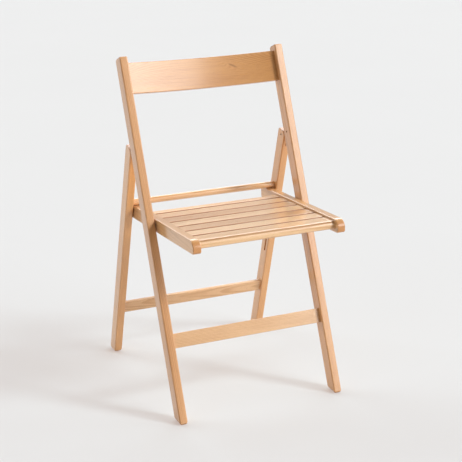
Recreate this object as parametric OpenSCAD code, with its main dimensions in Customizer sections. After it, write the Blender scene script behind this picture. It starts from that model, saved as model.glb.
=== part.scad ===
// Wooden folding chair with a slatted seat.
//
// Two long front posts lean back and carry the backrest. Two shorter rear legs
// hang on steel plates behind the posts. The seat turns on a pin in each post, and
// a stud near its tail runs down a groove in each rear leg as the chair folds.
//
// Axes: X across the chair, -Y forwards, +Z up. The origin is on the floor, in the
// middle of the overall footprint. Sizes are millimetres and degrees.

/* [Overall] */
// Height of the top front corner of the posts
chair_h = 790; // [720:1:960]
// Width over the outer faces of the posts
chair_w = 425; // [350:1:520]
// Floor length, from the front edge of the front feet to the rear edge of the rear feet
foot_spread = 475; // [420:1:580]
// Angle between the posts and the vertical
post_lean = 24.6; // [20:0.1:28]

/* [Leg Stock] */
// Thickness of posts and rear legs across the chair
leg_t = 20; // [18:0.5:30]
// Depth of posts and rear legs, front face to rear face
leg_d = 33; // [28:0.5:45]
// Radius of the rear top corner of the posts
post_top_r = 9; // [3:0.5:12]
// Distance from the hinge pin up to the top of a rear leg
leg_top_at = 12.5; // [11:0.5:16]
// Radius of the rear top corner of the rear legs
leg_top_r = 7; // [3:0.5:12]
// Radius of the front top corner of the rear legs, which swings past the post
leg_nose_r = 11; // [10.5:0.5:16]

/* [Top Hinge] */
// Distance from the front edge of the foot up the post to the hinge plates
hinge_at = 652; // [600:1:700]
// Gap left between post and rear leg when the chair is folded
fold_gap = 1; // [0.5:0.1:4]
// Thickness of a hinge plate
plate_t = 2; // [1.5:0.1:3]
// Width of a hinge plate
plate_w = 14; // [12:0.5:20]
// Clearance between a hinge plate and each side of its slot in the rear leg
kerf_clear = 0.35; // [0.3:0.05:1]
// Depth of the plate slots behind the hinge pins
kerf_behind = 10; // [8:0.5:14]
// Distance that the slot in a rear leg runs below the hinge pin
kerf_below = 26; // [11:0.5:32]
// Diameter of the hinge pins
hinge_pin_d = 5; // [4:0.5:7]
// Wood left outside the blind end of a hinge pin
hinge_pin_cover = 4; // [3:0.5:6]

/* [Seat Frame] */
// Height of the seat pivots above the floor
seat_pivot_h = 420; // [380:1:470]
// Rise of the seat towards the front
seat_slope = 4.6; // [2:0.1:8]
// Thickness of a seat rail
rail_t = 20; // [18:0.5:26]
// Height of a seat rail
rail_h = 31; // [28:0.5:40]
// Gap between a seat rail and the posts and rear legs beside it
side_gap = 2.5; // [2:0.1:4]
// Distance from the pivots to the front tips of the rails
seat_reach = 232; // [225:1:290]
// Distance from the pivots to the rear ends of the rails
seat_tail = 167; // [160:1:190]
// Radius over the top of a rail's nose
nose_top_r = 22; // [18:0.5:28]
// Distance from the top of a rail down to the crease where that radius ends
nose_crease = 16; // [10:0.5:18]
// Radius under a rail's nose
nose_low_r = 7; // [3:0.5:8]
// Radius under a rail's tail
tail_low_r = 9; // [3:0.5:12]
// Radius over a rail's tail
tail_top_r = 3; // [1:0.5:6]

/* [Seat Slats] */
// Width of the equal slats
slat_w = 39.6; // [36:0.1:42]
// Width of the narrow rear slat
rear_slat_w = 25; // [20:0.5:30]
// Width of the front slat
front_slat_w = 46.5; // [40:0.5:52]
// Gap between neighbouring slats
slat_gap = 5; // [3:0.1:8]
// Thickness of the slats
slat_t = 12; // [10:0.5:14]
// Thickness of the front slat
front_slat_t = 18; // [14:0.5:22]
// Step from the top of the rails down to the slats
slat_drop = 5; // [3:0.5:7]
// Distance from the pivots back to the rear edge of the rear slat
slats_back = 81.5; // [75:0.5:100]
// Radius along the top edges of the slats
slat_edge_r = 3; // [1:0.5:4]
// Radius along the lower edges of the slats
slat_low_r = 1; // [0.5:0.5:3]
// Radius along the top front edge of the front slat
front_edge_r = 9; // [4:0.5:12]
// Radius along the lower front edge of the front slat
front_low_r = 3; // [1:0.5:5]
// Length of the slat tongues let into the rails
slat_tongue = 6; // [4:0.5:7]

/* [Seat Fittings] */
// Diameter of the steel pins that the seat turns on
pivot_d = 8; // [6:0.5:10]
// Length of a pivot pin inside the post and inside the rail
pivot_grip = 12; // [8:0.5:13]
// Radial running clearance of the pivot and hinge pins
run_clear = 0.05; // [0.02:0.01:0.1]
// Diameter of the washers between rails and posts
washer_d = 18; // [14:0.5:22]
// Gap between moving faces that lie side by side
face_gap = 0.3; // [0.3:0.05:0.6]
// Diameter of a guide stud
guide_d = 6; // [4:0.5:6]
// Height of the guide studs above the underside of the rails
guide_h = 17; // [12:0.5:20]
// Distance of the guide groove from the front face of the rear leg
groove_set = 12; // [10:0.5:20]
// Width of the guide groove
groove_w = 6.6; // [6.2:0.1:9]
// Depth of the guide groove into the leg
groove_deep = 9; // [6:0.5:12]
// Length of groove left past the folded guide stud
groove_spare = 18; // [6:0.5:24]

/* [Backrest] */
// Height of the backrest board
board_h = 74.5; // [60:0.5:110]
// Thickness of the backrest board
board_t = 12; // [10:0.5:15]
// Distance from the top of the posts down to the board
board_drop = 13.5; // [10:0.5:40]
// Distance of the ends of the board behind the front faces of the posts
board_set = 11; // [8:0.5:14]
// Depth of the hollow of the board
board_sag = 13.5; // [6:0.5:20]

/* [Stretchers] */
// Height of the front stretcher
front_bar_h = 34.5; // [25:0.5:45]
// Thickness of the front stretcher
front_bar_t = 12; // [10:0.5:16]
// Distance of the front stretcher behind the front faces of the posts
front_bar_set = 10.5; // [6:0.5:14]
// Distance from the foot up the post to the middle of the front stretcher
front_bar_at = 194.7; // [120:1:240]
// Height of the rear stretcher
rear_bar_h = 30; // [25:0.5:45]
// Thickness of the rear stretcher
rear_bar_t = 10; // [8:0.5:14]
// Distance of the rear stretcher behind the front faces of the rear legs
rear_bar_set = 7; // [6:0.5:14]
// Distance from the foot up the rear leg to the middle of the rear stretcher
rear_bar_at = 133.5; // [90:1:170]
// Length of the tenons on the board and the stretchers
tenon_l = 10; // [8:0.5:14]
// Width of the shoulder all round a tenon
shoulder = 2; // [1:0.5:3]
// Diameter of the rod that the tail of the seat bears against
rod_d = 16; // [12:0.5:20]
// Diameter of the turned ends of that rod
rod_end_d = 10; // [8:0.5:12]

/* [Hidden] */
$fn = 96;

// Number of equal slats between the rear slat and the front slat.
mid_slats = 5;

// Across the chair: the outer faces, then the inner faces of posts, then the rails.
outer_x = chair_w / 2;
inner_x = outer_x - leg_t;
rail_out_x = inner_x - side_gap;
rail_in_x = rail_out_x - rail_t;

// Side view points are [y, z], with y measured back from the middle of the foot
// spread. A post frame and a rear leg frame each run up from the front edge of a
// foot: "along" goes up the front face and "depth" goes back from it.
function dot(a, b) = a[0] * b[0] + a[1] * b[1];
function up_dir(lean) = [sin(lean), cos(lean)];
function back_dir(lean) = [cos(lean), -sin(lean)];
function on_leg(foot, lean, along, depth) =
    foot + along * up_dir(lean) + depth * back_dir(lean);

post_foot = [-foot_spread / 2, 0];
post_l = chair_h / cos(post_lean);
function on_post(along, depth) = on_leg(post_foot, post_lean, along, depth);

// The two hinge pins sit square to the post, in the middle of each leg's depth.
post_pin_depth = leg_d / 2;
leg_pin_depth = leg_d + fold_gap + leg_d / 2;
leg_pin = on_post(hinge_at, leg_pin_depth);

// The rear leg's rear face runs from the floor to half a leg depth behind its pin.
rear_reach = foot_spread / 2 - leg_pin[0];
rear_lean = atan(rear_reach / leg_pin[1])
    - asin((leg_d / 2) / norm([rear_reach, leg_pin[1]]));
leg_foot = [foot_spread / 2 - leg_d / cos(rear_lean), 0];
function on_rear(along, depth) = on_leg(leg_foot, -rear_lean, along, depth);
leg_pin_at = dot(leg_pin - leg_foot, up_dir(-rear_lean));
rear_leg_l = leg_pin_at + leg_top_at;

// Seat frame: the rails run through the pivots at half their height.
pivot_at = (seat_pivot_h + post_pin_depth * sin(post_lean)) / cos(post_lean);
pivot = on_post(pivot_at, post_pin_depth);
seat_up = [sin(seat_slope), cos(seat_slope)];
// Where a line parallel to the rails, at height h over their middle, meets a line
// up the rear leg at the given depth: the distance up the leg.
function rear_meets(h, depth) =
    (h - dot(on_rear(0, depth) - pivot, seat_up)) / dot(up_dir(-rear_lean), seat_up);

// The stud sits in the groove; the rod lies on top of the rails' tails.
guide_off = guide_h - rail_h / 2;
guide_at = rear_meets(guide_off, groove_set);
guide = on_rear(guide_at, groove_set);
guide_back = dot(guide - pivot, [cos(seat_slope), -sin(seat_slope)]);
rod_at = rear_meets(rail_h / 2 + face_gap + rod_d / 2, leg_d / 2);

// Folded, the rear leg lies along the post, and the stud is where a circle about
// the seat pivot crosses the groove.
guide_r = norm(guide - pivot);
groove_depth_folded = leg_d + fold_gap + groove_set;
guide_drop = sqrt(pow(guide_r, 2) - pow(groove_depth_folded - post_pin_depth, 2));
guide_folded_at = leg_pin_at - (hinge_at - pivot_at) - guide_drop;

// The overall footprint runs from the rail noses to the rear feet.
nose_y = pivot[0] - seat_reach * cos(seat_slope) - (rail_h / 2 - nose_low_r) * sin(seat_slope);
mid_y = (min(nose_y, -foot_spread / 2) + foot_spread / 2) / 2;

// ---- Placing ----

// Frames of the post, the rear leg and the seat: along a leg is +Z, back from its
// front face is +Y.
module in_post() translate([0, post_foot[0] - mid_y, 0]) rotate([-post_lean, 0, 0]) children();
module in_rear() translate([0, leg_foot[0] - mid_y, 0]) rotate([rear_lean, 0, 0]) children();
// The seat frame: origin on the pivots' axis, -Y along the rails to the front.
module in_seat() translate([0, pivot[0] - mid_y, pivot[1]]) rotate([-seat_slope, 0, 0]) children();
module on_left() mirror([1, 0, 0]) children();

// A rod along X from from_x, at depth y and height z of the current frame.
module cross_pin(d, from_x, length, y, z)
    translate([from_x, y, z])
        rotate([0, 90, 0])
            cylinder(d = d, h = length);

// A bar of the given depth and height whose four corners, seen along X, are cut to
// the radii [front low, rear low, rear top, front top].
module bar(from_x, t, depth, h, radii) {
    difference() {
        translate([from_x, 0, 0]) cube([t, depth, h]);
        for (i = [0 : 3]) {
            at_rear = i == 1 || i == 2;
            at_top = i >= 2;
            if (radii[i] > 0)
                translate([from_x - 1, at_rear ? depth : 0, at_top ? h : 0])
                    mirror([0, at_rear ? 1 : 0, 0])
                        mirror([0, 0, at_top ? 1 : 0])
                            corner_waste(radii[i], t + 2);
        }
    }
}

// The wood taken off one edge along X to round it to radius r.
module corner_waste(r, length)
    difference() {
        translate([0, -1, -1]) cube([length, r + 1, r + 1]);
        translate([-1, r, r]) rotate([0, 90, 0]) cylinder(r = r, h = length + 2);
    }

// ---- Joints cut into the legs ----

// A block for a tenon, or the mortise that takes it: across X from the middle of
// the chair to past the inner face of a leg.
module tenon_block(set, t, from_z, h)
    translate([0, set + shoulder, from_z + shoulder])
        cube([inner_x + tenon_l, t - 2 * shoulder, h - 2 * shoulder]);

// Half-space over the floor, in chair coordinates.
module above_floor()
    translate([-chair_w, -chair_h, 0]) cube([2 * chair_w, 2 * chair_h, 2 * chair_h]);

board_at = post_l - board_drop - board_h;
front_bar_z = front_bar_at - front_bar_h / 2;
rear_bar_z = rear_bar_at - rear_bar_h / 2;
kerf_x = inner_x + leg_t / 2;
pin_l = leg_t - hinge_pin_cover;

// ---- Front frame ----

module post() {
    below = leg_d;
    intersection() {
        above_floor();
        in_post() difference() {
            translate([0, 0, -below])
                bar(inner_x, leg_t, leg_d, post_l + below, [0, 0, post_top_r, 0]);
            tenon_block(board_set, board_t, board_at, board_h);
            tenon_block(front_bar_set, front_bar_t, front_bar_z, front_bar_h);
            cross_pin(hinge_pin_d, inner_x - 1, pin_l + 1, post_pin_depth, hinge_at);
            cross_pin(pivot_d, inner_x - 1, pivot_grip + 1, post_pin_depth, pivot_at);
            translate([kerf_x - plate_t / 2, post_pin_depth - kerf_behind, hinge_at - plate_w / 2])
                cube([plate_t, leg_d, plate_w]);
        }
    }
}

module right_post() color("burlywood") post();
module left_post() color("burlywood") on_left() post();

// The board is a piece of a ring about an upright axis in front of the chair.
module backrest_board() {
    hollow_r = (pow(inner_x, 2) + pow(board_sag, 2)) / (2 * board_sag);
    axis_y = board_set + board_sag - hollow_r;
    color("wheat") in_post() {
        intersection() {
            translate([0, axis_y, board_at])
                difference() {
                    cylinder(r = hollow_r + board_t, h = board_h, $fn = 360);
                    translate([0, 0, -1]) cylinder(r = hollow_r, h = board_h + 2, $fn = 360);
                }
            translate([-inner_x, 0, board_at]) cube([2 * inner_x, 2 * leg_d, board_h]);
        }
        for (side = [0, 1])
            mirror([side, 0, 0])
                board_tenon();
    }
}

// The part of a board tenon that stands out past the shoulder.
module board_tenon()
    intersection() {
        tenon_block(board_set, board_t, board_at, board_h);
        translate([inner_x - shoulder, 0, 0]) cube([2 * tenon_l, 2 * leg_d, post_l]);
    }

// A straight stretcher with a tenon at each end.
module stretcher(set, t, from_z, h) {
    translate([-inner_x, set, from_z]) cube([2 * inner_x, t, h]);
    for (side = [0, 1])
        mirror([side, 0, 0])
            tenon_block(set, t, from_z, h);
}

module front_stretcher()
    color("burlywood") in_post()
        stretcher(front_bar_set, front_bar_t, front_bar_z, front_bar_h);

// A flat steel link, let into the post and round at the rear leg's pin.
module hinge_plate() {
    reach = leg_pin_depth - post_pin_depth;
    in_post() difference() {
        union() {
            translate([kerf_x - plate_t / 2, post_pin_depth - kerf_behind, hinge_at - plate_w / 2])
                cube([plate_t, kerf_behind + reach, plate_w]);
            cross_pin(plate_w, kerf_x - plate_t / 2, plate_t, leg_pin_depth, hinge_at);
        }
        cross_pin(hinge_pin_d, inner_x, leg_t, post_pin_depth, hinge_at);
        cross_pin(hinge_pin_d + 2 * run_clear, inner_x, leg_t, leg_pin_depth, hinge_at);
    }
}

module right_hinge_plate() color("silver") hinge_plate();
module left_hinge_plate() color("silver") on_left() hinge_plate();

module post_hinge_pin()
    in_post() cross_pin(hinge_pin_d, inner_x, pin_l, post_pin_depth, hinge_at);

module right_post_hinge_pin() color("dimgray") post_hinge_pin();
module left_post_hinge_pin() color("dimgray") on_left() post_hinge_pin();

// Pressed into the post and free in the rail.
module seat_pivot_pin()
    in_post()
        cross_pin(pivot_d, rail_out_x - pivot_grip, 2 * pivot_grip + side_gap,
            post_pin_depth, pivot_at);

module right_seat_pivot_pin() color("dimgray") seat_pivot_pin();
module left_seat_pivot_pin() color("dimgray") on_left() seat_pivot_pin();

module pivot_washer()
    in_post() difference() {
        cross_pin(washer_d, rail_out_x + face_gap, side_gap - face_gap, post_pin_depth, pivot_at);
        cross_pin(pivot_d, rail_out_x, side_gap + 1, post_pin_depth, pivot_at);
    }

module right_pivot_washer() color("whitesmoke") pivot_washer();
module left_pivot_washer() color("whitesmoke") on_left() pivot_washer();

// ---- Rear frame ----

// The slot for the plate is one saw cut, open at the front and at the top, so that
// the plate stays clear of the leg through the whole fold.
module rear_leg() {
    below = leg_d;
    kerf_w = plate_t + 2 * kerf_clear;
    kerf_d = leg_d / 2 + plate_w / 2 + face_gap;
    intersection() {
        above_floor();
        in_rear() difference() {
            translate([0, 0, -below])
                bar(inner_x, leg_t, leg_d, rear_leg_l + below, [0, 0, leg_top_r, leg_nose_r]);
            tenon_block(rear_bar_set, rear_bar_t, rear_bar_z, rear_bar_h);
            cross_pin(hinge_pin_d, inner_x - 1, pin_l + 1, leg_d / 2, leg_pin_at);
            translate([kerf_x - kerf_w / 2, -1, leg_pin_at - kerf_below])
                cube([kerf_w, kerf_d + 1, kerf_below + leg_d]);
            rear_leg_groove();
            cross_pin(rod_end_d, inner_x - 1, tenon_l + 1, leg_d / 2, rod_at);
        }
    }
}

// Straight groove with round ends, from above the seat's open position down past
// the folded stud.
module rear_leg_groove() {
    low = guide_folded_at - groove_spare;
    high = guide_at + groove_w / 2;
    translate([inner_x - 1, groove_set - groove_w / 2, low])
        cube([groove_deep + 1, groove_w, high - low]);
    for (z = [low, high])
        cross_pin(groove_w, inner_x - 1, groove_deep + 1, groove_set, z);
}

module right_rear_leg() color("burlywood") rear_leg();
module left_rear_leg() color("burlywood") on_left() rear_leg();

module rear_stretcher()
    color("burlywood") in_rear()
        stretcher(rear_bar_set, rear_bar_t, rear_bar_z, rear_bar_h);

module seat_stop_rod()
    color("wheat") in_rear() {
        cross_pin(rod_d, -inner_x, 2 * inner_x, leg_d / 2, rod_at);
        cross_pin(rod_end_d, -inner_x - tenon_l, 2 * (inner_x + tenon_l), leg_d / 2, rod_at);
    }

module leg_hinge_pin()
    in_rear() cross_pin(hinge_pin_d, inner_x, pin_l, leg_d / 2, leg_pin_at);

module right_leg_hinge_pin() color("dimgray") leg_hinge_pin();
module left_leg_hinge_pin() color("dimgray") on_left() leg_hinge_pin();

// ---- Seat ----

// Front edges of the slats, as distances ahead of the pivots.
slat_pitch = slat_w + slat_gap;
rear_slat_front = rear_slat_w - slats_back;
function mid_slat_front(i) = rear_slat_front + i * slat_pitch;
front_slat_front = mid_slat_front(mid_slats) + slat_gap + front_slat_w;

// Runs its children once for each slat, with $front, $width and $thick set.
module each_slat() {
    let ($front = rear_slat_front, $width = rear_slat_w, $thick = slat_t) children();
    for (i = [1 : mid_slats])
        let ($front = mid_slat_front(i), $width = slat_w, $thick = slat_t) children();
    let ($front = front_slat_front, $width = front_slat_w, $thick = front_slat_t) children();
}

// The tongue of one slat, in the seat frame, reaching both rails.
module slat_tongues(front, width, thick)
    translate([
        -rail_in_x - slat_tongue,
        -front + 2 * shoulder,
        rail_h / 2 - slat_drop - thick + shoulder
    ])
        cube([2 * (rail_in_x + slat_tongue), width - 4 * shoulder, thick - 2 * shoulder]);

// A slat whose front edge lies a distance "front" ahead of the pivots, and is
// rounded to top_r above and low_r below.
module slat(front, width, thick, top_r, low_r) {
    in_seat() {
        translate([0, -front, rail_h / 2 - slat_drop - thick])
            bar(-rail_in_x, 2 * rail_in_x, width, thick, [low_r, slat_low_r, slat_edge_r, top_r]);
        slat_tongues(front, width, thick);
    }
}

// The wood taken off over a rail's nose. The radius starts level with the top of the
// rail and runs out at a crease on the front end.
module nose_waste() {
    below = nose_top_r - nose_crease;
    run = sqrt(pow(nose_top_r, 2) - pow(below, 2));
    translate([rail_in_x - 1, -seat_reach, rail_h / 2]) difference() {
        translate([0, -1, -nose_crease]) cube([rail_t + 2, run + 1, nose_crease + 1]);
        translate([-1, run, -nose_top_r])
            rotate([0, 90, 0])
                cylinder(r = nose_top_r, h = rail_t + 4);
    }
}

module seat_rail() {
    in_seat() difference() {
        translate([0, -seat_reach, -rail_h / 2])
            bar(rail_in_x, rail_t, seat_reach + seat_tail, rail_h,
                [nose_low_r, tail_low_r, tail_top_r, 0]);
        nose_waste();
        each_slat() slat_tongues($front, $width, $thick);
        cross_pin(pivot_d + 2 * run_clear, rail_out_x - pivot_grip - face_gap,
            pivot_grip + face_gap + 1, 0, 0);
        cross_pin(guide_d, rail_out_x - pivot_grip, pivot_grip + 1, guide_back, guide_off);
    }
}

module right_seat_rail() color("tan") seat_rail();
module left_seat_rail() color("tan") on_left() seat_rail();

// The stud's nose stops short of the rear leg.
module guide_stud()
    in_seat()
        cross_pin(guide_d, rail_out_x - pivot_grip, pivot_grip + side_gap - face_gap,
            guide_back, guide_off);

module right_guide_stud() color("dimgray") guide_stud();
module left_guide_stud() color("dimgray") on_left() guide_stud();

module rear_seat_slat()
    color("wheat") slat(rear_slat_front, rear_slat_w, slat_t, slat_edge_r, slat_low_r);
module mid_seat_slat(i)
    color("wheat") slat(mid_slat_front(i), slat_w, slat_t, slat_edge_r, slat_low_r);
module front_seat_slat()
    color("wheat") slat(front_slat_front, front_slat_w, front_slat_t, front_edge_r, front_low_r);

left_post();
right_post();
backrest_board();
front_stretcher();
left_hinge_plate();
right_hinge_plate();
left_post_hinge_pin();
right_post_hinge_pin();
left_seat_pivot_pin();
right_seat_pivot_pin();
left_pivot_washer();
right_pivot_washer();
left_rear_leg();
right_rear_leg();
rear_stretcher();
seat_stop_rod();
left_leg_hinge_pin();
right_leg_hinge_pin();
left_seat_rail();
right_seat_rail();
left_guide_stud();
right_guide_stud();
rear_seat_slat();
mid_seat_slat(1);  // seat_slat_1
mid_seat_slat(2);  // seat_slat_2
mid_seat_slat(3);  // seat_slat_3
mid_seat_slat(4);  // seat_slat_4
mid_seat_slat(5);  // seat_slat_5
front_seat_slat();
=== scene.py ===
# A wooden folding chair with a slatted seat, in lacquered beech.
# Metres; left is -X, the sitter faces -Y, and the floor is Z = 0.
import math

import bmesh
import bpy
import numpy as np
from mathutils import Matrix, Vector


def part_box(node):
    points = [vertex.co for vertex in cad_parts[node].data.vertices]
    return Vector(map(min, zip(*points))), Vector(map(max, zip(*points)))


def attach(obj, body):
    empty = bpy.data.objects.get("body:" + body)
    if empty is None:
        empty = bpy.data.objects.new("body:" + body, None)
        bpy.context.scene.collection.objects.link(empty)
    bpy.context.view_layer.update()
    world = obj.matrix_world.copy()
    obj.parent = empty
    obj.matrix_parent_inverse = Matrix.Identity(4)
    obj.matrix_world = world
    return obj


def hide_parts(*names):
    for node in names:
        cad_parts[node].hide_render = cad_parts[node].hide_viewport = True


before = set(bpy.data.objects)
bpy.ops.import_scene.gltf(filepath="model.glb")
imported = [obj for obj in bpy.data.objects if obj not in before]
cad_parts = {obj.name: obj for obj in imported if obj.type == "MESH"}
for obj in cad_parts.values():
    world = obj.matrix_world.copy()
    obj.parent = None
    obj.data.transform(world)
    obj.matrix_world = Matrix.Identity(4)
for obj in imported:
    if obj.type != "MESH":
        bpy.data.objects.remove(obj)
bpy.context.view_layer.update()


# ---- Camera ----
# A long lens from in front and to the left, looking down on the seat. Its angles are in
# radians: a turn about the vertical, a tilt down, and a slight roll.

LENS_MM = 99.16
SENSOR_MM = 36
FAR_CLIP = 100
CAMERA_AT = Vector((-1.21592, -2.63338, 1.39554))
YAW, PITCH, ROLL = -0.437677, -0.338961, 0.010299

forward = Vector((
    -math.sin(YAW) * math.cos(PITCH), math.cos(YAW) * math.cos(PITCH), math.sin(PITCH)))
level = Vector((math.cos(YAW), math.sin(YAW), 0))
lifted = level.cross(forward)
right = level * math.cos(ROLL) + lifted * math.sin(ROLL)
up = lifted * math.cos(ROLL) - level * math.sin(ROLL)

camera = bpy.data.objects.new("camera", bpy.data.cameras.new("camera"))
camera.data.lens = LENS_MM
camera.data.sensor_width = SENSOR_MM
camera.data.clip_end = FAR_CLIP
camera.matrix_world = Matrix((
    (right.x, up.x, -forward.x, CAMERA_AT.x),
    (right.y, up.y, -forward.y, CAMERA_AT.y),
    (right.z, up.z, -forward.z, CAMERA_AT.z),
    (0, 0, 0, 1)))
bpy.context.scene.collection.objects.link(camera)
bpy.context.scene.camera = camera


# ---- Posts ----
# The two long members are front legs and back uprights in one. Each is planed from one
# length of straight beech, with the arrises eased by hand, and clear lacquered.

POST_LEAN = math.radians(24.6)
POST_ARRIS = 0.0028         # the rounding of its long edges
FOOT_ROUND = 0.007          # the rounding under a foot
FINE_ARRIS = 0.0003         # the edges of holes, slots and shoulders
ARRIS_CUTS = 3
WELD = 2e-6
FLAT_WITHIN = math.radians(0.4)
CORNER_OVER = math.radians(24)
SMOOTH_UNDER = math.radians(42)
ON_THE_OUTSIDE = 4e-5
ON_THE_FLOOR = 1e-4

ACROSS = Vector((1, 0, 0))
POST_UP = Vector((0, math.sin(POST_LEAN), math.cos(POST_LEAN)))

CUT_ENDS = (0.50, 0.22, 0.075)
FLECK_BROWN = (0.30, 0.13, 0.045, 1)
LATE_WOOD_END = (0.22, 0.085, 0.025, 1)
PORE_BROWN = (0.20, 0.08, 0.03, 1)
KNOT_BROWN = (0.24, 0.085, 0.02, 1)
KNOT_LONG, KNOT_WIDE, KNOT_SLANT = 0.011, 0.0032, 0.45
NO_KNOT = (-9, 0, 0)


def node_in(tree, kind, inputs=None, **settings):
    """One node, with its settings, and its inputs given as values or as other sockets."""
    made = tree.nodes.new(kind)
    for name, value in settings.items():
        setattr(made, name, value)
    for key, value in (inputs or {}).items():
        socket = made.inputs[key]
        if isinstance(value, bpy.types.NodeSocket):
            tree.links.new(value, socket)
        else:
            socket.default_value = value
    return made


def maths(tree, operation, a, b=0.0):
    return node_in(tree, "ShaderNodeMath", {0: a, 1: b}, operation=operation).outputs[0]


def blend_colours(tree, share, a, b, how="MIX"):
    mix = node_in(
        tree, "ShaderNodeMix", {0: share, 6: a, 7: b}, data_type="RGBA", blend_type=how)
    return mix.outputs[2]


def spread(tree, value, low, high, to_low=0.0, to_high=1.0):
    """A value's range from low to high, eased at both ends, and laid over another."""
    return node_in(tree, "ShaderNodeMapRange", {
        "Value": value, "From Min": low, "From Max": high, "To Min": to_low, "To Max": to_high,
    }, interpolation_type="SMOOTHSTEP").outputs["Result"]


def noise_in(tree, place, stretch, detail=2.0, rough=0.5):
    """Noise with one cycle in 1/stretch metres along each axis of the plank."""
    scaled = node_in(tree, "ShaderNodeVectorMath", {0: place, 1: stretch}, operation="MULTIPLY")
    return node_in(tree, "ShaderNodeTexNoise", {
        "Vector": scaled.outputs[0], "Scale": 1.0, "Detail": detail, "Roughness": rough,
    }).outputs[0]


def swing(tree, noise, size):
    """Noise brought about zero, at a given size."""
    return maths(tree, "MULTIPLY", maths(tree, "SUBTRACT", noise, 0.5), size)


def wood_figure():
    """Beech as sawn: growth rings about the pith, fibres, ray flecks and end grain.
    Plank is (along the grain, across, through), measured from the pith."""
    tree = bpy.data.node_groups.new("wood figure", "ShaderNodeTree")
    sockets = [
        ("Plank", "NodeSocketVector", (0, 0, 0)), ("End Grain", "NodeSocketFloat", 0.0),
        ("Pale", "NodeSocketColor", (1, 1, 1, 1)), ("Deep", "NodeSocketColor", (1, 1, 1, 1)),
        ("Cut Ends", "NodeSocketColor", (1, 1, 1, 1)), ("Ring Width", "NodeSocketFloat", 0.003),
        ("Ring Strength", "NodeSocketFloat", 0.5), ("Wander", "NodeSocketFloat", 0.006),
        ("Fleck Strength", "NodeSocketFloat", 0.3), ("Knot", "NodeSocketVector", NO_KNOT),
    ]
    for name, kind, value in sockets:
        tree.interface.new_socket(name, in_out="INPUT", socket_type=kind).default_value = value
    for name, kind in (("Color", "NodeSocketColor"), ("Roughness", "NodeSocketFloat"),
                       ("Height", "NodeSocketFloat")):
        tree.interface.new_socket(name, in_out="OUTPUT", socket_type=kind)
    given = tree.nodes.new("NodeGroupInput").outputs
    plank = given["Plank"]

    # Growth rings: the distance from the pith, with a slow wander along the plank.
    wander = noise_in(tree, plank, (3.2, 14, 14), 1.0)
    ripple = noise_in(tree, plank, (9, 60, 60), 2.0)
    parts = node_in(tree, "ShaderNodeSeparateXYZ", {0: plank}).outputs
    shift = maths(tree, "ADD", swing(tree, wander, given["Wander"]), swing(tree, ripple, 0.0022))
    reach = maths(tree, "SQRT", maths(
        tree, "ADD", maths(tree, "POWER", parts[1], 2.0), maths(tree, "POWER", parts[2], 2.0)))
    reach = maths(tree, "ADD", reach, shift)

    # A pin knot, which the rings swell round.
    off = node_in(tree, "ShaderNodeVectorMath", {0: plank, 1: given["Knot"]},
                  operation="SUBTRACT")
    off = node_in(tree, "ShaderNodeSeparateXYZ", {0: off.outputs[0]}).outputs
    slant = maths(tree, "ADD", maths(tree, "MULTIPLY", off[0], KNOT_SLANT), off[1])
    away = maths(
        tree, "ADD", maths(tree, "POWER", maths(tree, "DIVIDE", off[0], KNOT_LONG), 2.0),
        maths(tree, "POWER", maths(tree, "DIVIDE", slant, KNOT_WIDE), 2.0))
    swell = maths(tree, "EXPONENT", maths(tree, "MULTIPLY", away, -0.16))
    reach = maths(tree, "ADD", reach, maths(tree, "MULTIPLY", swell, 0.0045))
    turns = maths(tree, "DIVIDE", reach, given["Ring Width"])
    ring = maths(tree, "FRACT", turns)
    late = maths(tree, "MULTIPLY", spread(tree, ring, 0.25, 0.86), spread(tree, ring, 1.0, 0.9))
    patch = spread(tree, noise_in(tree, plank, (4, 22, 22), 1.0), 0.3, 0.7, 0.35, 1)
    rings = maths(tree, "MULTIPLY", maths(tree, "MULTIPLY", late, patch), given["Ring Strength"])

    # Fibres, and slow changes of colour along and across the plank.
    fibre = noise_in(tree, plank, (9, 420, 420), 3.0, 0.6)
    hair = noise_in(tree, plank, (40, 2400, 2400), 2.0, 0.6)
    cloud = noise_in(tree, plank, (2.6, 30, 30), 2.0)
    tone = rings
    for noise, size in ((fibre, 1.1), (hair, 0.22), (cloud, 1.4)):
        tone = maths(tree, "ADD", tone, swing(tree, noise, size))
    tone = spread(tree, tone, -0.25, 0.80)
    colour = blend_colours(tree, tone, given["Pale"], given["Deep"])

    # Ray flecks: short dark dashes that lie along the grain.
    dashes = noise_in(tree, plank, (330, 2300, 2300), 0.0)
    flecks = maths(tree, "MULTIPLY", spread(tree, dashes, 0.64, 0.74), given["Fleck Strength"])
    colour = blend_colours(tree, flecks, colour, FLECK_BROWN)
    colour = blend_colours(tree, spread(tree, away, 1.3, 0.1, 0, 0.6), colour, KNOT_BROWN)

    # End grain drinks the lacquer: deeper in colour, with the rings and pores end on.
    pores = noise_in(tree, plank, (200, 1900, 1900), 1.0)
    ends = blend_colours(
        tree, maths(tree, "MULTIPLY", late, 0.30), given["Cut Ends"], LATE_WOOD_END)
    ends = blend_colours(tree, spread(tree, pores, 0.60, 0.72, 0, 0.45), ends, PORE_BROWN)
    colour = blend_colours(tree, given["End Grain"], colour, ends)

    rough = maths(tree, "ADD", spread(tree, fibre, 0.3, 0.7, 0.27, 0.36),
                  maths(tree, "MULTIPLY", given["End Grain"], 0.18))
    height = maths(tree, "SUBTRACT", maths(tree, "MULTIPLY", fibre, 0.5),
                   maths(tree, "MULTIPLY", flecks, 0.5))
    height = maths(tree, "SUBTRACT", height, maths(tree, "MULTIPLY", rings, 0.3))
    out = tree.nodes.new("NodeGroupOutput").inputs
    tree.links.new(colour, out["Color"])
    tree.links.new(rough, out["Roughness"])
    tree.links.new(height, out["Height"])
    return tree


WOOD_FIGURE = wood_figure()


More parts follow.
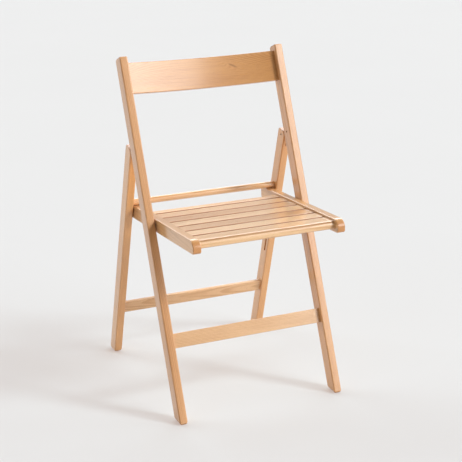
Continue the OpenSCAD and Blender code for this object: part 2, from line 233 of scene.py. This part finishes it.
def lacquered_beech(name, pale, deep, cut_ends=CUT_ENDS, ring_width=0.0032,
                    ring_strength=0.5, wander=0.007, knot=NO_KNOT):
    """Beech under clear lacquer. The figure lies in the wood; the gloss is the coat."""
    material = bpy.data.materials.new(name)
    material.use_nodes = True
    tree = material.node_tree
    shader = tree.nodes["Principled BSDF"]
    plank = node_in(tree, "ShaderNodeAttribute", attribute_name="plank").outputs["Vector"]
    ends = node_in(tree, "ShaderNodeAttribute", attribute_name="end_grain").outputs["Fac"]
    figure = node_in(tree, "ShaderNodeGroup", {
        "Plank": plank, "End Grain": ends, "Pale": (*pale, 1), "Deep": (*deep, 1),
        "Cut Ends": (*cut_ends, 1), "Ring Width": ring_width, "Ring Strength": ring_strength,
        "Wander": wander, "Fleck Strength": 0.3, "Knot": knot}, node_tree=WOOD_FIGURE)
    bump = node_in(tree, "ShaderNodeBump", {
        "Height": figure.outputs["Height"], "Strength": 0.25, "Distance": 0.00025})
    tree.links.new(figure.outputs["Color"], shader.inputs["Base Color"])
    tree.links.new(figure.outputs["Roughness"], shader.inputs["Roughness"])
    tree.links.new(bump.outputs["Normal"], shader.inputs["Normal"])
    shader.inputs["Coat Weight"].default_value = 1.0
    shader.inputs["Coat Roughness"].default_value = 0.15
    shader.inputs["Coat IOR"].default_value = 1.5
    shader.inputs["Specular IOR Level"].default_value = 0.5
    return material


def shown(name, mesh, material, body, nodes):
    """A finished piece: on its body, standing for its CAD nodes."""
    piece = bpy.data.objects.new(name, mesh)
    bpy.context.scene.collection.objects.link(piece)
    mesh.materials.clear()
    mesh.materials.append(material)
    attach(piece, body)
    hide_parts(*nodes)
    return piece


def applied(mesh, *modifiers):
    """The mesh with modifiers applied, each given as (kind, settings)."""
    holder = bpy.data.objects.new("being worked", mesh)
    bpy.context.scene.collection.objects.link(holder)
    for kind, settings in modifiers:
        made = holder.modifiers.new(kind, kind)
        for key, value in settings.items():
            setattr(made, key, value)
    seen = holder.evaluated_get(bpy.context.evaluated_depsgraph_get())
    result = bpy.data.meshes.new_from_object(seen)
    bpy.data.objects.remove(holder)
    bpy.data.meshes.remove(mesh)
    return result


def smoothed(mesh):
    """Smooth over the eased edges and curves, flat over the planed faces."""
    mesh.shade_smooth()
    mesh.set_sharp_from_angle(angle=SMOOTH_UNDER)
    return applied(mesh, ("WEIGHTED_NORMAL", {"keep_sharp": True, "weight": 60}))


def eased(node, arris, outer=None, foot=0.0):
    """A copy of a CAD node with its outer edges rounded to the arris, and the edges of
    holes, slots and shoulders just broken. A foot's edges on the floor are rounded more.
    outer tells an outer edge from its middle; without it, both faces bound the piece."""
    widest = max(arris, foot)
    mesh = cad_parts[node].data.copy()
    bm = bmesh.new()
    bm.from_mesh(mesh)
    bmesh.ops.remove_doubles(bm, verts=bm.verts, dist=WELD)
    bmesh.ops.dissolve_limit(bm, angle_limit=FLAT_WITHIN, verts=bm.verts, edges=bm.edges)
    places = np.array([v.co for v in bm.verts])

    def bounding(face):
        normal = np.array(face.normal)
        beyond = (places @ normal).max() - np.array(face.verts[0].co) @ normal
        return beyond < ON_THE_OUTSIDE

    bounds = {f.index: bounding(f) for f in bm.faces}
    weight = bm.edges.layers.float.new("bevel_weight_edge")
    for edge in bm.edges:
        if len(edge.link_faces) != 2 or edge.calc_face_angle_signed(0) < CORNER_OVER:
            continue
        if outer:
            is_outer = outer((edge.verts[0].co + edge.verts[1].co) / 2)
        else:
            is_outer = all(bounds[f.index] for f in edge.link_faces)
        size = arris if is_outer else FINE_ARRIS
        if foot and max(v.co.z for v in edge.verts) < ON_THE_FLOOR:
            size = foot
        edge[weight] = size / widest

    # Where a broken edge meets a rounded one it is left sharp, so that their corners close.
    fine = 2 * FINE_ARRIS
    for vert in bm.verts:
        if arris > fine and any(e[weight] > fine / widest for e in vert.link_edges):
            for edge in vert.link_edges:
                if edge[weight] < fine / widest:
                    edge[weight] = 0
    bm.to_mesh(mesh)
    bm.free()
    bevelled = applied(mesh, ("BEVEL", {
        "limit_method": "WEIGHT", "width": widest, "segments": ARRIS_CUTS,
        "offset_type": "OFFSET",
        "use_clamp_overlap": False, "loop_slide": False}))
    return smoothed(bevelled)


def vectors(items, field):
    """One field of every vertex, face or value, as rows of three."""
    row = np.empty(len(items) * 3, np.float32)
    items.foreach_get(field, row)
    return row.reshape(-1, 3)


def sawn(mesh, along, across, pith, taper=0.0, shift=0.0):
    """Lays the plank's own axes in the mesh: along the grain, across and through, from a
    pith that lies (across, through) from the middle of the piece. The grain runs out by
    the taper, and the shift is the piece's own stretch of the tree."""
    through = along.cross(across).normalized()
    places = vectors(mesh.vertices, "co")
    own = np.stack([places @ np.array(axis) for axis in (along, across, through)], 1)
    own -= (own.min(0) + own.max(0)) / 2
    own[:, 1] += -pith[0] + taper * own[:, 0]
    own[:, 2] += -pith[1] + taper * own[:, 0]
    own[:, 0] += shift
    if "log" in mesh.attributes:
        own += vectors(mesh.attributes["log"].data, "vector")
    plank = mesh.attributes.new("plank", "FLOAT_VECTOR", "POINT").data
    plank.foreach_set("vector", own.ravel())
    faced = np.abs(vectors(mesh.polygons, "normal") @ np.array(along))
    cut = np.clip((faced - 0.35) / 0.4, 0, 1)
    end_grain = mesh.attributes.new("end_grain", "FLOAT", "FACE").data
    end_grain.foreach_set("value", cut.astype(np.float32))
    return mesh


post_wood = lacquered_beech(
    "post wood", pale=(0.67, 0.350, 0.145), deep=(0.50, 0.225, 0.074))

for side, pith, shift in (("left", (0.055, 0.030), 0.9), ("right", (-0.070, 0.020), 2.3)):
    mesh = eased(side + "_post", POST_ARRIS, foot=FOOT_ROUND)
    sawn(mesh, POST_UP, ACROSS, pith, taper=0.012, shift=shift)
    shown(side + "_upright", mesh, post_wood, "front_frame", [side + "_post"])


# ---- Backrest board ----
# One wide beech board, steamed and bent to a shallow hollow, and tenoned into the
# uprights. It is cut with its rings close together, and has a pin knot right of its middle.

BOARD_ARRIS = 0.0016
BOARD_SHIFT = 4.1
KNOT_AT = (BOARD_SHIFT + 0.081, -0.0374, 0)
SHOULDER_X = 0.1915         # where the tenons begin

board_wood = lacquered_beech(
    "board wood", pale=(0.62, 0.305, 0.100), deep=(0.47, 0.195, 0.050),
    ring_width=0.0019, ring_strength=0.45, wander=0.009, knot=KNOT_AT)


def between_shoulders(place):
    return abs(place.x) < SHOULDER_X


mesh = eased("backrest_board", BOARD_ARRIS, outer=between_shoulders)
sawn(mesh, ACROSS, POST_UP, pith=(0.050, 0.090), taper=0.02, shift=BOARD_SHIFT)
shown("back_board", mesh, board_wood, "front_frame", ["backrest_board"])


# ---- Stretchers ----
# Flat beech rails low between the uprights and between the rear legs, tenoned and glued
# at both ends. They show more figure than the legs do.

LEG_LEAN = math.radians(13.8216)
BAR_ARRIS = 0.0014
LEG_UP = Vector((0, -math.sin(LEG_LEAN), math.cos(LEG_LEAN)))

stretcher_wood = lacquered_beech(
    "stretcher wood", pale=(0.73, 0.455, 0.235), deep=(0.58, 0.32, 0.138), ring_strength=0.9)

for name, node, body, rise, pith, shift in (
        ("front_bar", "front_stretcher", "front_frame", POST_UP, (0.09, 0.02), 6.0),
        ("rear_bar", "rear_stretcher", "rear_frame", LEG_UP, (0.004, 0.035), 7.7)):
    mesh = eased(node, BAR_ARRIS)
    sawn(mesh, ACROSS, rise, pith, taper=0.03, shift=shift)
    shown(name, mesh, stretcher_wood, body, [node])


# ---- Rear legs ----
# Beech members shorter than the uprights, slotted at the top for the hinge plates, and
# grooved on the inside for the seat's guide studs.

LEG_ARRIS = 0.0026

leg_wood = lacquered_beech(
    "leg wood", pale=(0.75, 0.405, 0.165), deep=(0.60, 0.28, 0.095))

for side, pith, shift in (("left", (0.050, -0.035), 9.2), ("right", (-0.045, 0.045), 11.4)):
    mesh = eased(side + "_rear_leg", LEG_ARRIS, foot=FOOT_ROUND)
    sawn(mesh, LEG_UP, ACROSS, pith, taper=-0.015, shift=shift)
    shown(side + "_back_leg", mesh, leg_wood, "rear_frame", [side + "_rear_leg"])


# ---- Seat rails ----
# The two beech sides of the seat, with rounded noses that show the end grain. They are
# mortised on the inside for every slat, and drilled for the pivot pins.

SEAT_SLOPE = math.radians(4.6)
RAIL_ARRIS = 0.0020
SEAT_FRONT = Vector((0, -math.cos(SEAT_SLOPE), math.sin(SEAT_SLOPE)))
SEAT_UP = Vector((0, math.sin(SEAT_SLOPE), math.cos(SEAT_SLOPE)))

rail_wood = lacquered_beech(
    "rail wood", pale=(0.70, 0.40, 0.18), deep=(0.54, 0.27, 0.10), cut_ends=(0.62, 0.27, 0.075))

for side, pith, shift in (("left", (0.040, 0.020), 13.1), ("right", (-0.050, 0.012), 15.8)):
    mesh = eased(side + "_seat_rail", RAIL_ARRIS)
    sawn(mesh, SEAT_FRONT, ACROSS, pith, taper=0.02, shift=shift)
    shown(side + "_side_rail", mesh, rail_wood, "seat", [side + "_seat_rail"])


# ---- Seat slats ----
# A narrow beech slat at the back, five equal ones, and a thicker one in front with a
# rounded nose. All are rounded along the top edges, and tongued into the rails.

SLAT_GAP = 0.005
SLAT_WIDE = 0.0396
REAR_SLAT_WIDE = 0.025
FRONT_SLAT_WIDE = 0.0465
SLAT_ROUNDS = (0.001, 0.003, 0.003, 0.001)
NOSE_ROUNDS = (0.003, 0.009, 0.003, 0.001)
NOSE_DEEP = 0.010
SLAT_TONGUE = 0.006
TONGUE_SHARE = 0.64         # a tongue's height over its slat's
MID_SLATS = 5
LOG_LONG, LOG_WIDE, LOG_THROUGH = 9, 0.05, 0.03
DARKEST_SLAT = (0.72, 0.58, 0.44, 1)
# The deep brown that is painted into the slat gaps and on the nose as shade.
PAINTED_GAP_SHADE = (0.30, 0.10, 0.025, 1)

slat_wood = lacquered_beech(
    "slat wood", pale=(0.86, 0.57, 0.31), deep=(0.66, 0.37, 0.16))

# No two slats match in tone, and shade is painted into the gaps and onto the front nose.
tree = slat_wood.node_tree
painted_shade = node_in(tree, "ShaderNodeAttribute", attribute_name="painted_gap_shade").outputs["Fac"]
under_coat = tree.nodes["Principled BSDF"].inputs["Base Color"]
log = node_in(tree, "ShaderNodeAttribute", attribute_name="log").outputs["Vector"]
how_deep = node_in(tree, "ShaderNodeSeparateXYZ", {0: log}).outputs[2]
darker = maths(tree, "DIVIDE", how_deep, LOG_THROUGH)
varied = blend_colours(tree, darker, (1.0, 1.0, 1.0, 1), DARKEST_SLAT)
varied = blend_colours(tree, 1.0, under_coat.links[0].from_socket, varied, "MULTIPLY")
# Painted shade: faces in the gaps and on the nose's rounding go towards the deep brown.
tree.links.new(blend_colours(tree, painted_shade, varied, PAINTED_GAP_SHADE), under_coat)


def slat_tree():
    """Saws slats from a section: runs it across the seat, cuts a tongue on each end, and
    sets the slats out at a pitch. Each slat comes from its own part of the log."""
    tree = bpy.data.node_groups.new("slats", "GeometryNodeTree")
    for name, kind in (("Section", "NodeSocketGeometry"), ("Length", "NodeSocketFloat"),
                       ("Tongue", "NodeSocketFloat"), ("Count", "NodeSocketInt"),
                       ("Pitch", "NodeSocketVector"), ("Seed", "NodeSocketInt"),
                       ("Material", "NodeSocketMaterial")):
        tree.interface.new_socket(name, in_out="INPUT", socket_type=kind)
    tree.interface.new_socket("Slats", in_out="OUTPUT", socket_type="NodeSocketGeometry")
    given = tree.nodes.new("NodeGroupInput").outputs
    sideways = node_in(tree, "GeometryNodeInputNormal").outputs[0]
    run = node_in(tree, "GeometryNodeExtrudeMesh", {
        "Mesh": given["Section"], "Offset": (1, 0, 0), "Offset Scale": given["Length"],
        "Individual": False})
    back = node_in(tree, "GeometryNodeFlipFaces", {0: given["Section"]})
    both = node_in(tree, "GeometryNodeJoinGeometry")
    tree.links.new(run.outputs["Mesh"], both.inputs[0])
    tree.links.new(back.outputs[0], both.inputs[0])
    stick = node_in(tree, "GeometryNodeMergeByDistance", {
        "Geometry": both.outputs[0], "Distance": 1e-6})
    facing = node_in(tree, "ShaderNodeSeparateXYZ", {0: sideways}).outputs[0]
    facing = node_in(tree, "ShaderNodeMath", {0: facing}, operation="ABSOLUTE").outputs[0]
    ends = node_in(tree, "FunctionNodeCompare", {0: facing, 1: 0.9},
                   data_type="FLOAT", operation="GREATER_THAN").outputs[0]
    step = node_in(tree, "GeometryNodeExtrudeMesh", {
        "Mesh": stick.outputs[0], "Selection": ends, "Offset": sideways, "Offset Scale": 0.0,
        "Individual": True})
    small = node_in(tree, "GeometryNodeScaleElements", {
        "Geometry": step.outputs["Mesh"], "Selection": step.outputs["Top"], "Scale": TONGUE_SHARE})
    tongue = node_in(tree, "GeometryNodeExtrudeMesh", {
        "Mesh": small.outputs[0], "Selection": step.outputs["Top"], "Offset": sideways,
        "Offset Scale": given["Tongue"], "Individual": True})
    places = node_in(tree, "GeometryNodeMeshLine", {
        "Count": given["Count"], "Offset": given["Pitch"], "Start Location": (0, 0, 0)},
        mode="OFFSET")
    set_out = node_in(tree, "GeometryNodeInstanceOnPoints", {
        "Points": places.outputs[0], "Instance": tongue.outputs["Mesh"]})
    drawn = node_in(tree, "FunctionNodeRandomValue", {
        0: (0, 0, 0), 1: (LOG_LONG, LOG_WIDE, LOG_THROUGH), "Seed": given["Seed"]},
        data_type="FLOAT_VECTOR")
    named = node_in(tree, "GeometryNodeStoreNamedAttribute", {
        "Geometry": set_out.outputs[0], "Name": "log", "Value": drawn.outputs[0]},
        data_type="FLOAT_VECTOR", domain="INSTANCE")
    real = node_in(tree, "GeometryNodeRealizeInstances", {0: named.outputs[0]})
    dressed = node_in(tree, "GeometryNodeSetMaterial", {
        "Geometry": real.outputs[0], "Material": given["Material"]})
    tree.links.new(dressed.outputs[0], tree.nodes.new("NodeGroupOutput").inputs[0])
    return tree


def rounded(at_front, at_top, wide, thick, radii, steps=5):
    """Corners of a slat's section in the seat's own plane, as (forward, up). The radii go
    front low, front top, rear top, rear low."""
    corners = ((0, -thick, 1, -1), (0, 0, 1, 1), (-wide, 0, -1, 1), (-wide, -thick, -1, -1))
    points = []
    for (x, z, sx, sz), r, start in zip(corners, radii, (270, 0, 90, 180)):
        for k in range(steps + 1):
            turn = math.radians(start + 90 * k / steps)
            points.append((at_front + x - sx * r + r * math.cos(turn),
                           at_top + z - sz * r + r * math.sin(turn)))
    return points


SLATS = slat_tree()


def grown(start, group, inputs):
    """The plain mesh that a Geometry Nodes tree makes from a starting mesh."""
    holder = bpy.data.objects.new(start.name, start)
    bpy.context.scene.collection.objects.link(holder)
    modifier = holder.modifiers.new(group.name, "NODES")
    modifier.node_group = group
    sockets = {s.name: s.identifier for s in group.interface.items_tree if s.in_out == "INPUT"}
    for name, value in inputs.items():
        modifier[sockets[name]] = value
    holder.update_tag()
    seen = holder.evaluated_get(bpy.context.evaluated_depsgraph_get())
    result = bpy.data.meshes.new_from_object(seen)
    bpy.data.objects.remove(holder)
    bpy.data.meshes.remove(start)
    return result


def slats(outline, length, count, pitch, seed):
    """The slats of one section, as one mesh."""
    mesh = bpy.data.meshes.new("slats")
    corners = [SEAT_FRONT * a + SEAT_UP * b for a, b in outline]
    mesh.from_pydata([(-length / 2, v.y, v.z) for v in corners], [], [list(range(len(corners)))])
    mesh.update()
    if mesh.polygons[0].normal.x < 0:
        mesh.flip_normals()
    return grown(mesh, SLATS, {"Length": length, "Tongue": SLAT_TONGUE, "Count": count,
                               "Pitch": pitch, "Seed": seed, "Material": slat_wood})


def extent(node, axis):
    """Lowest and highest reach of a CAD node along an axis."""
    reach = [v.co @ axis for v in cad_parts[node].data.vertices]
    return min(reach), max(reach)


between_rails = 2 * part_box("right_seat_rail")[0].x
pitch = SEAT_FRONT * (SLAT_WIDE + SLAT_GAP)
made = []
for node, count, wide, radii, seed in (
        ("rear_seat_slat", 1, REAR_SLAT_WIDE, SLAT_ROUNDS, 3),
        ("seat_slat_1", MID_SLATS, SLAT_WIDE, SLAT_ROUNDS, 301),
        ("front_seat_slat", 1, FRONT_SLAT_WIDE, NOSE_ROUNDS, 21)):
    low, top = extent(node, SEAT_UP)
    section = rounded(extent(node, SEAT_FRONT)[1], top, wide, top - low, radii)
    made.append(slats(section, between_rails, count, pitch, seed))

bm = bmesh.new()
for mesh in made:
    bm.from_mesh(mesh)
mesh = bpy.data.meshes.new("slats")
bm.to_mesh(mesh)
bm.free()
mesh = sawn(smoothed(mesh), ACROSS, SEAT_FRONT, pith=(0.02, 0.05), taper=0.02, shift=20.0)

# Painted shade: 1 on a face that looks into a gap, and painted over the nose's rounding too.
nose_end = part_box("front_seat_slat")[0].y + NOSE_DEEP
painted_gap_shade = mesh.attributes.new("painted_gap_shade", "FLOAT", "FACE").data
for face in mesh.polygons:
    turned_away = abs(face.normal @ SEAT_FRONT)
    if face.center.y > nose_end:
        painted_gap_shade[face.index].value = min(max(turned_away * 1.8 - 0.40, 0), 1)
    else:
        painted_gap_shade[face.index].value = 0.75 - abs(1.5 * turned_away - 0.75)
shown("seat_slats", mesh, slat_wood, "seat",
      ["rear_seat_slat", "front_seat_slat"]
      + ["seat_slat_%d" % (i + 1) for i in range(MID_SLATS)])


# ---- Seat stop rod ----
# A turned beech rod between the rear legs, with thinner ends let into them. The tails of
# the seat rails bear up against it when the chair is open.

TURNED_SIDES = 48


def turned_tree():
    """Turns round parts: every path is an axis, and each of its points has a radius."""
    tree = bpy.data.node_groups.new("turned parts", "GeometryNodeTree")
    for name, kind in (("Axes", "NodeSocketGeometry"), ("Sides", "NodeSocketInt"),
                       ("Material", "NodeSocketMaterial")):
        tree.interface.new_socket(name, in_out="INPUT", socket_type=kind)
    tree.interface.new_socket("Parts", in_out="OUTPUT", socket_type="NodeSocketGeometry")
    given = tree.nodes.new("NodeGroupInput").outputs
    size = node_in(tree, "GeometryNodeInputNamedAttribute", {"Name": "turned_radius"},
                   data_type="FLOAT").outputs["Attribute"]
    axes = node_in(tree, "GeometryNodeMeshToCurve", {"Mesh": given["Axes"]})
    circle = node_in(tree, "GeometryNodeCurvePrimitiveCircle", {
        "Resolution": given["Sides"], "Radius": 1.0})
    turned = node_in(tree, "GeometryNodeCurveToMesh", {
        "Curve": axes.outputs[0], "Profile Curve": circle.outputs[0], "Scale": size,
        "Fill Caps": True})
    real = node_in(tree, "GeometryNodeRealizeInstances", {0: turned.outputs[0]})
    dressed = node_in(tree, "GeometryNodeSetMaterial", {
        "Geometry": real.outputs[0], "Material": given["Material"]})
    tree.links.new(dressed.outputs[0], tree.nodes.new("NodeGroupOutput").inputs[0])
    return tree


TURNED = turned_tree()


def turned(axes, material, sides=TURNED_SIDES):
    """Round parts along X as one mesh. Each axis is a list of (x, y, z, radius)."""
    mesh = bpy.data.meshes.new("axes")
    points, edges = [], []
    for axis in axes:
        edges += [(len(points) + i, len(points) + i + 1) for i in range(len(axis) - 1)]
        points += axis
    mesh.from_pydata([p[:3] for p in points], edges, [])
    mesh.attributes.new("turned_radius", "FLOAT", "POINT").data.foreach_set(
        "value", [p[3] for p in points])
    result = grown(mesh, TURNED, {"Sides": sides, "Material": material})
    bm = bmesh.new()
    bm.from_mesh(result)
    bmesh.ops.recalc_face_normals(bm, faces=bm.faces)
    bm.to_mesh(result)
    bm.free()
    return smoothed(result)


ROD_END_R = 0.005
ROD_BREAK = 0.0008

rod_wood = lacquered_beech("rod wood", pale=(0.84, 0.52, 0.26), deep=(0.70, 0.38, 0.17))

low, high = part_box("seat_stop_rod")
middle, rod_r = (low + high) / 2, (high.z - low.z) / 2
shoulder_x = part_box("right_rear_leg")[0].x
half = [(high.x, ROD_END_R), (shoulder_x, ROD_END_R), (shoulder_x, rod_r - ROD_BREAK / 2),
        (shoulder_x - ROD_BREAK / 2, rod_r)]
axis = [(-x, middle.y, middle.z, r) for x, r in half]
axis += [(x, middle.y, middle.z, r) for x, r in reversed(half)]
mesh = sawn(turned([axis], rod_wood), ACROSS, LEG_UP, pith=(0.03, 0.02), taper=0.02, shift=31.0)
shown("stop_rod", mesh, rod_wood, "rear_frame", ["seat_stop_rod"])


# ---- Hinge pins, pivot pins and guide studs ----
# Plain steel pins, coloured dark. The hinge pins are driven from the inside until they
# sit just under the wood.

PIN_SUNK = 0.0015
PIN_CHAMFER = 0.0005
PIN_SIDES = 32


def steel_marks():
    """Worn steel: fine scratches round the part, and darker patches."""
    tree = bpy.data.node_groups.new("steel marks", "ShaderNodeTree")
    tree.interface.new_socket("Clean", in_out="INPUT", socket_type="NodeSocketColor")
    tree.interface.new_socket("Dull", in_out="INPUT", socket_type="NodeSocketColor")
    tree.interface.new_socket("Color", in_out="OUTPUT", socket_type="NodeSocketColor")
    tree.interface.new_socket("Roughness", in_out="OUTPUT", socket_type="NodeSocketFloat")
    given = tree.nodes.new("NodeGroupInput").outputs
    place = tree.nodes.new("ShaderNodeTexCoord").outputs["Object"]
    lines = noise_in(tree, place, (900, 60, 60), 2.0)
    patches = noise_in(tree, place, (260, 260, 260), 3.0)
    colour = blend_colours(tree, spread(tree, patches, 0.42, 0.66), given["Clean"], given["Dull"])
    rough = spread(tree, maths(tree, "ADD", lines, patches), 0.7, 1.3, 0.26, 0.52)
    out = tree.nodes.new("NodeGroupOutput").inputs
    tree.links.new(colour, out["Color"])
    tree.links.new(rough, out["Roughness"])
    return tree


STEEL_MARKS = steel_marks()


def steel(name, clean, dull):
    material = bpy.data.materials.new(name)
    material.use_nodes = True
    tree = material.node_tree
    shader = tree.nodes["Principled BSDF"]
    marks = node_in(tree, "ShaderNodeGroup", {"Clean": (*clean, 1), "Dull": (*dull, 1)},
                    node_tree=STEEL_MARKS)
    tree.links.new(marks.outputs["Color"], shader.inputs["Base Color"])
    tree.links.new(marks.outputs["Roughness"], shader.inputs["Roughness"])
    shader.inputs["Metallic"].default_value = 1.0
    return material


pin_steel = steel("pin steel", (0.085, 0.055, 0.035), (0.035, 0.022, 0.015))


def pin_axis(node, sunk=0.0):
    """The axis of a pin along X, chamfered at both ends, with its inner end sunk."""
    low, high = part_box(node)
    middle, r = (low + high) / 2, (high.z - low.z) / 2
    near, far = sorted((low.x, high.x), key=abs)
    way = math.copysign(1, far)
    near += way * sunk
    ends = ((near, r - PIN_CHAMFER), (near + way * PIN_CHAMFER, r),
            (far - way * PIN_CHAMFER, r), (far, r - PIN_CHAMFER))
    return [(x, middle.y, middle.z, radius) for x, radius in ends]


for kind, body, sunk in (
        ("post_hinge_pin", "front_frame", PIN_SUNK), ("leg_hinge_pin", "rear_frame", PIN_SUNK),
        ("seat_pivot_pin", "front_frame", 0.0), ("guide_stud", "seat", 0.0)):
    nodes = ["left_" + kind, "right_" + kind]
    mesh = turned([pin_axis(node, sunk) for node in nodes], pin_steel, PIN_SIDES)
    shown(kind + "s", mesh, pin_steel, body, nodes)


# ---- Hinge plates ----
# Zinc-plated steel links, punched from strip, with the edges broken. Each lies in slots
# in an upright and its rear leg, and is held by a pin in each.

PLATE_BREAK = 0.0003

plate_steel = steel("plate steel", (0.62, 0.61, 0.58), (0.42, 0.41, 0.39))

for side in ("left", "right"):
    mesh = eased(side + "_hinge_plate", PLATE_BREAK, outer=lambda place: True)
    shown(side + "_link_plate", mesh, plate_steel, "front_frame",
          [side + "_hinge_plate"])


# ---- Pivot washers ----
# Plain washers punched from natural nylon, slipped on the pivot pins. They keep the rails
# off the uprights, and scuff as the seat turns.

NYLON, SCUFFED = (0.78, 0.76, 0.70, 1), (0.60, 0.56, 0.48, 1)

nylon = bpy.data.materials.new("washer nylon")
nylon.use_nodes = True
tree = nylon.node_tree
place = tree.nodes.new("ShaderNodeTexCoord").outputs["Object"]
scuffs = noise_in(tree, place, (500, 500, 500), 3.0)
nylon_shader = tree.nodes["Principled BSDF"]
tree.links.new(blend_colours(tree, spread(tree, scuffs, 0.4, 0.7), NYLON, SCUFFED),
               nylon_shader.inputs["Base Color"])
tree.links.new(spread(tree, scuffs, 0.3, 0.7, 0.38, 0.6), nylon_shader.inputs["Roughness"])

for side in ("left", "right"):
    mesh = eased(side + "_pivot_washer", PLATE_BREAK, outer=lambda place: True)
    shown(side + "_spacer", mesh, nylon, "front_frame",
          [side + "_pivot_washer"])


# ---- Floor and light ----
# A pale seamless paper floor and a white far wall. A small hard lamp in front and to the
# right draws the shadows, four soft panels fill from the front and the sides, and two
# behind light the seat. They stand so far off that the floor is evenly lit.

FLOOR_HALF = 25.0
SKY = 0.08                  # light from all round
FAR_WALL = 0.86             # the wall's brightness, seen straight
FLOOR_GLOW = 0.415
GLOW_COLOUR = (1.0, 0.735, 0.625, 1)
PAPER_DEEP, PAPER_PALE = (0.295, 0.370, 0.400, 1), (0.305, 0.382, 0.412, 1)
PAPER_LIT = (0.60, 0.58, 0.56, 1)   # what the paper throws back on the chair
PANEL_AWAY = 150.0
AIM_HEIGHT = 0.45

paper = bpy.data.materials.new("floor")
paper.use_nodes = True
tree = paper.node_tree
place = tree.nodes.new("ShaderNodeTexCoord").outputs["Object"]
mottle = noise_in(tree, place, (2.0, 2.0, 2.0), 2.0)
paper_shader = tree.nodes["Principled BSDF"]
scattered = tree.nodes.new("ShaderNodeLightPath").outputs["Is Diffuse Ray"]
seen_colour = blend_colours(tree, mottle, PAPER_DEEP, PAPER_PALE)
glow = maths(tree, "MULTIPLY", maths(tree, "SUBTRACT", 1.0, scattered), FLOOR_GLOW)
tree.links.new(blend_colours(tree, scattered, seen_colour, PAPER_LIT),
               paper_shader.inputs["Base Color"])
tree.links.new(glow, paper_shader.inputs["Emission Strength"])
paper_shader.inputs["Emission Color"].default_value = GLOW_COLOUR
paper_shader.inputs["Roughness"].default_value = 0.9
paper_shader.inputs["Specular IOR Level"].default_value = 0.0

mesh = bpy.data.meshes.new("floor")
mesh.from_pydata([(x * FLOOR_HALF, y * FLOOR_HALF, 0) for x, y in
                  ((-1, -1), (1, -1), (1, 1), (-1, 1))], [], [(0, 1, 2, 3)])
mesh.materials.append(paper)
floor = bpy.data.objects.new("floor", mesh)
bpy.context.scene.collection.objects.link(floor)

world = bpy.data.worlds.new("studio")
world.use_nodes = True
tree = world.node_tree
background = tree.nodes["Background"].inputs
background["Color"].default_value = (1.0, 1.0, 1.0, 1)
straight = tree.nodes.new("ShaderNodeLightPath").outputs["Is Camera Ray"]
brightness = maths(tree, "ADD", SKY, maths(tree, "MULTIPLY", straight, FAR_WALL - SKY))
tree.links.new(brightness, background["Strength"])
bpy.context.scene.world = world
bpy.context.scene.view_settings.view_transform = "Standard"


def soft_box(name, azimuth, elevation, wide, high, radiance):
    """A flat panel that faces the chair. Azimuth runs from -Y towards +X, and the panel's
    width and height are the angles that it fills, in degrees."""
    a, e = math.radians(azimuth), math.radians(elevation)
    way = Vector((math.sin(a) * math.cos(e), -math.cos(a) * math.cos(e), math.sin(e)))
    light = bpy.data.lights.new(name, "AREA")
    light.shape = "RECTANGLE"
    light.size = 2 * PANEL_AWAY * math.tan(math.radians(wide / 2))
    light.size_y = 2 * PANEL_AWAY * math.tan(math.radians(high / 2))
    light.energy = radiance * math.pi * light.size * light.size_y
    panel = bpy.data.objects.new(name, light)
    panel.location = Vector((0, 0, AIM_HEIGHT)) + way * PANEL_AWAY
    panel.rotation_euler = way.to_track_quat("Z", "Y").to_euler()
    panel.visible_camera = False
    bpy.context.scene.collection.objects.link(panel)


soft_box("front panel", 41, 28, 22, 27, 5.2)
soft_box("key lamp", 56, 36, 11, 11, 50.0)
soft_box("low panel", 34, 10, 34, 12, 2.8)
soft_box("right panel", 95, 30, 36, 36, 3.2)
soft_box("back panel", 150, 31, 56, 26, 5.2)
soft_box("back left panel", -150, 32, 40, 30, 5.0)
soft_box("left panel", -75, 24, 36, 36, 1.2)
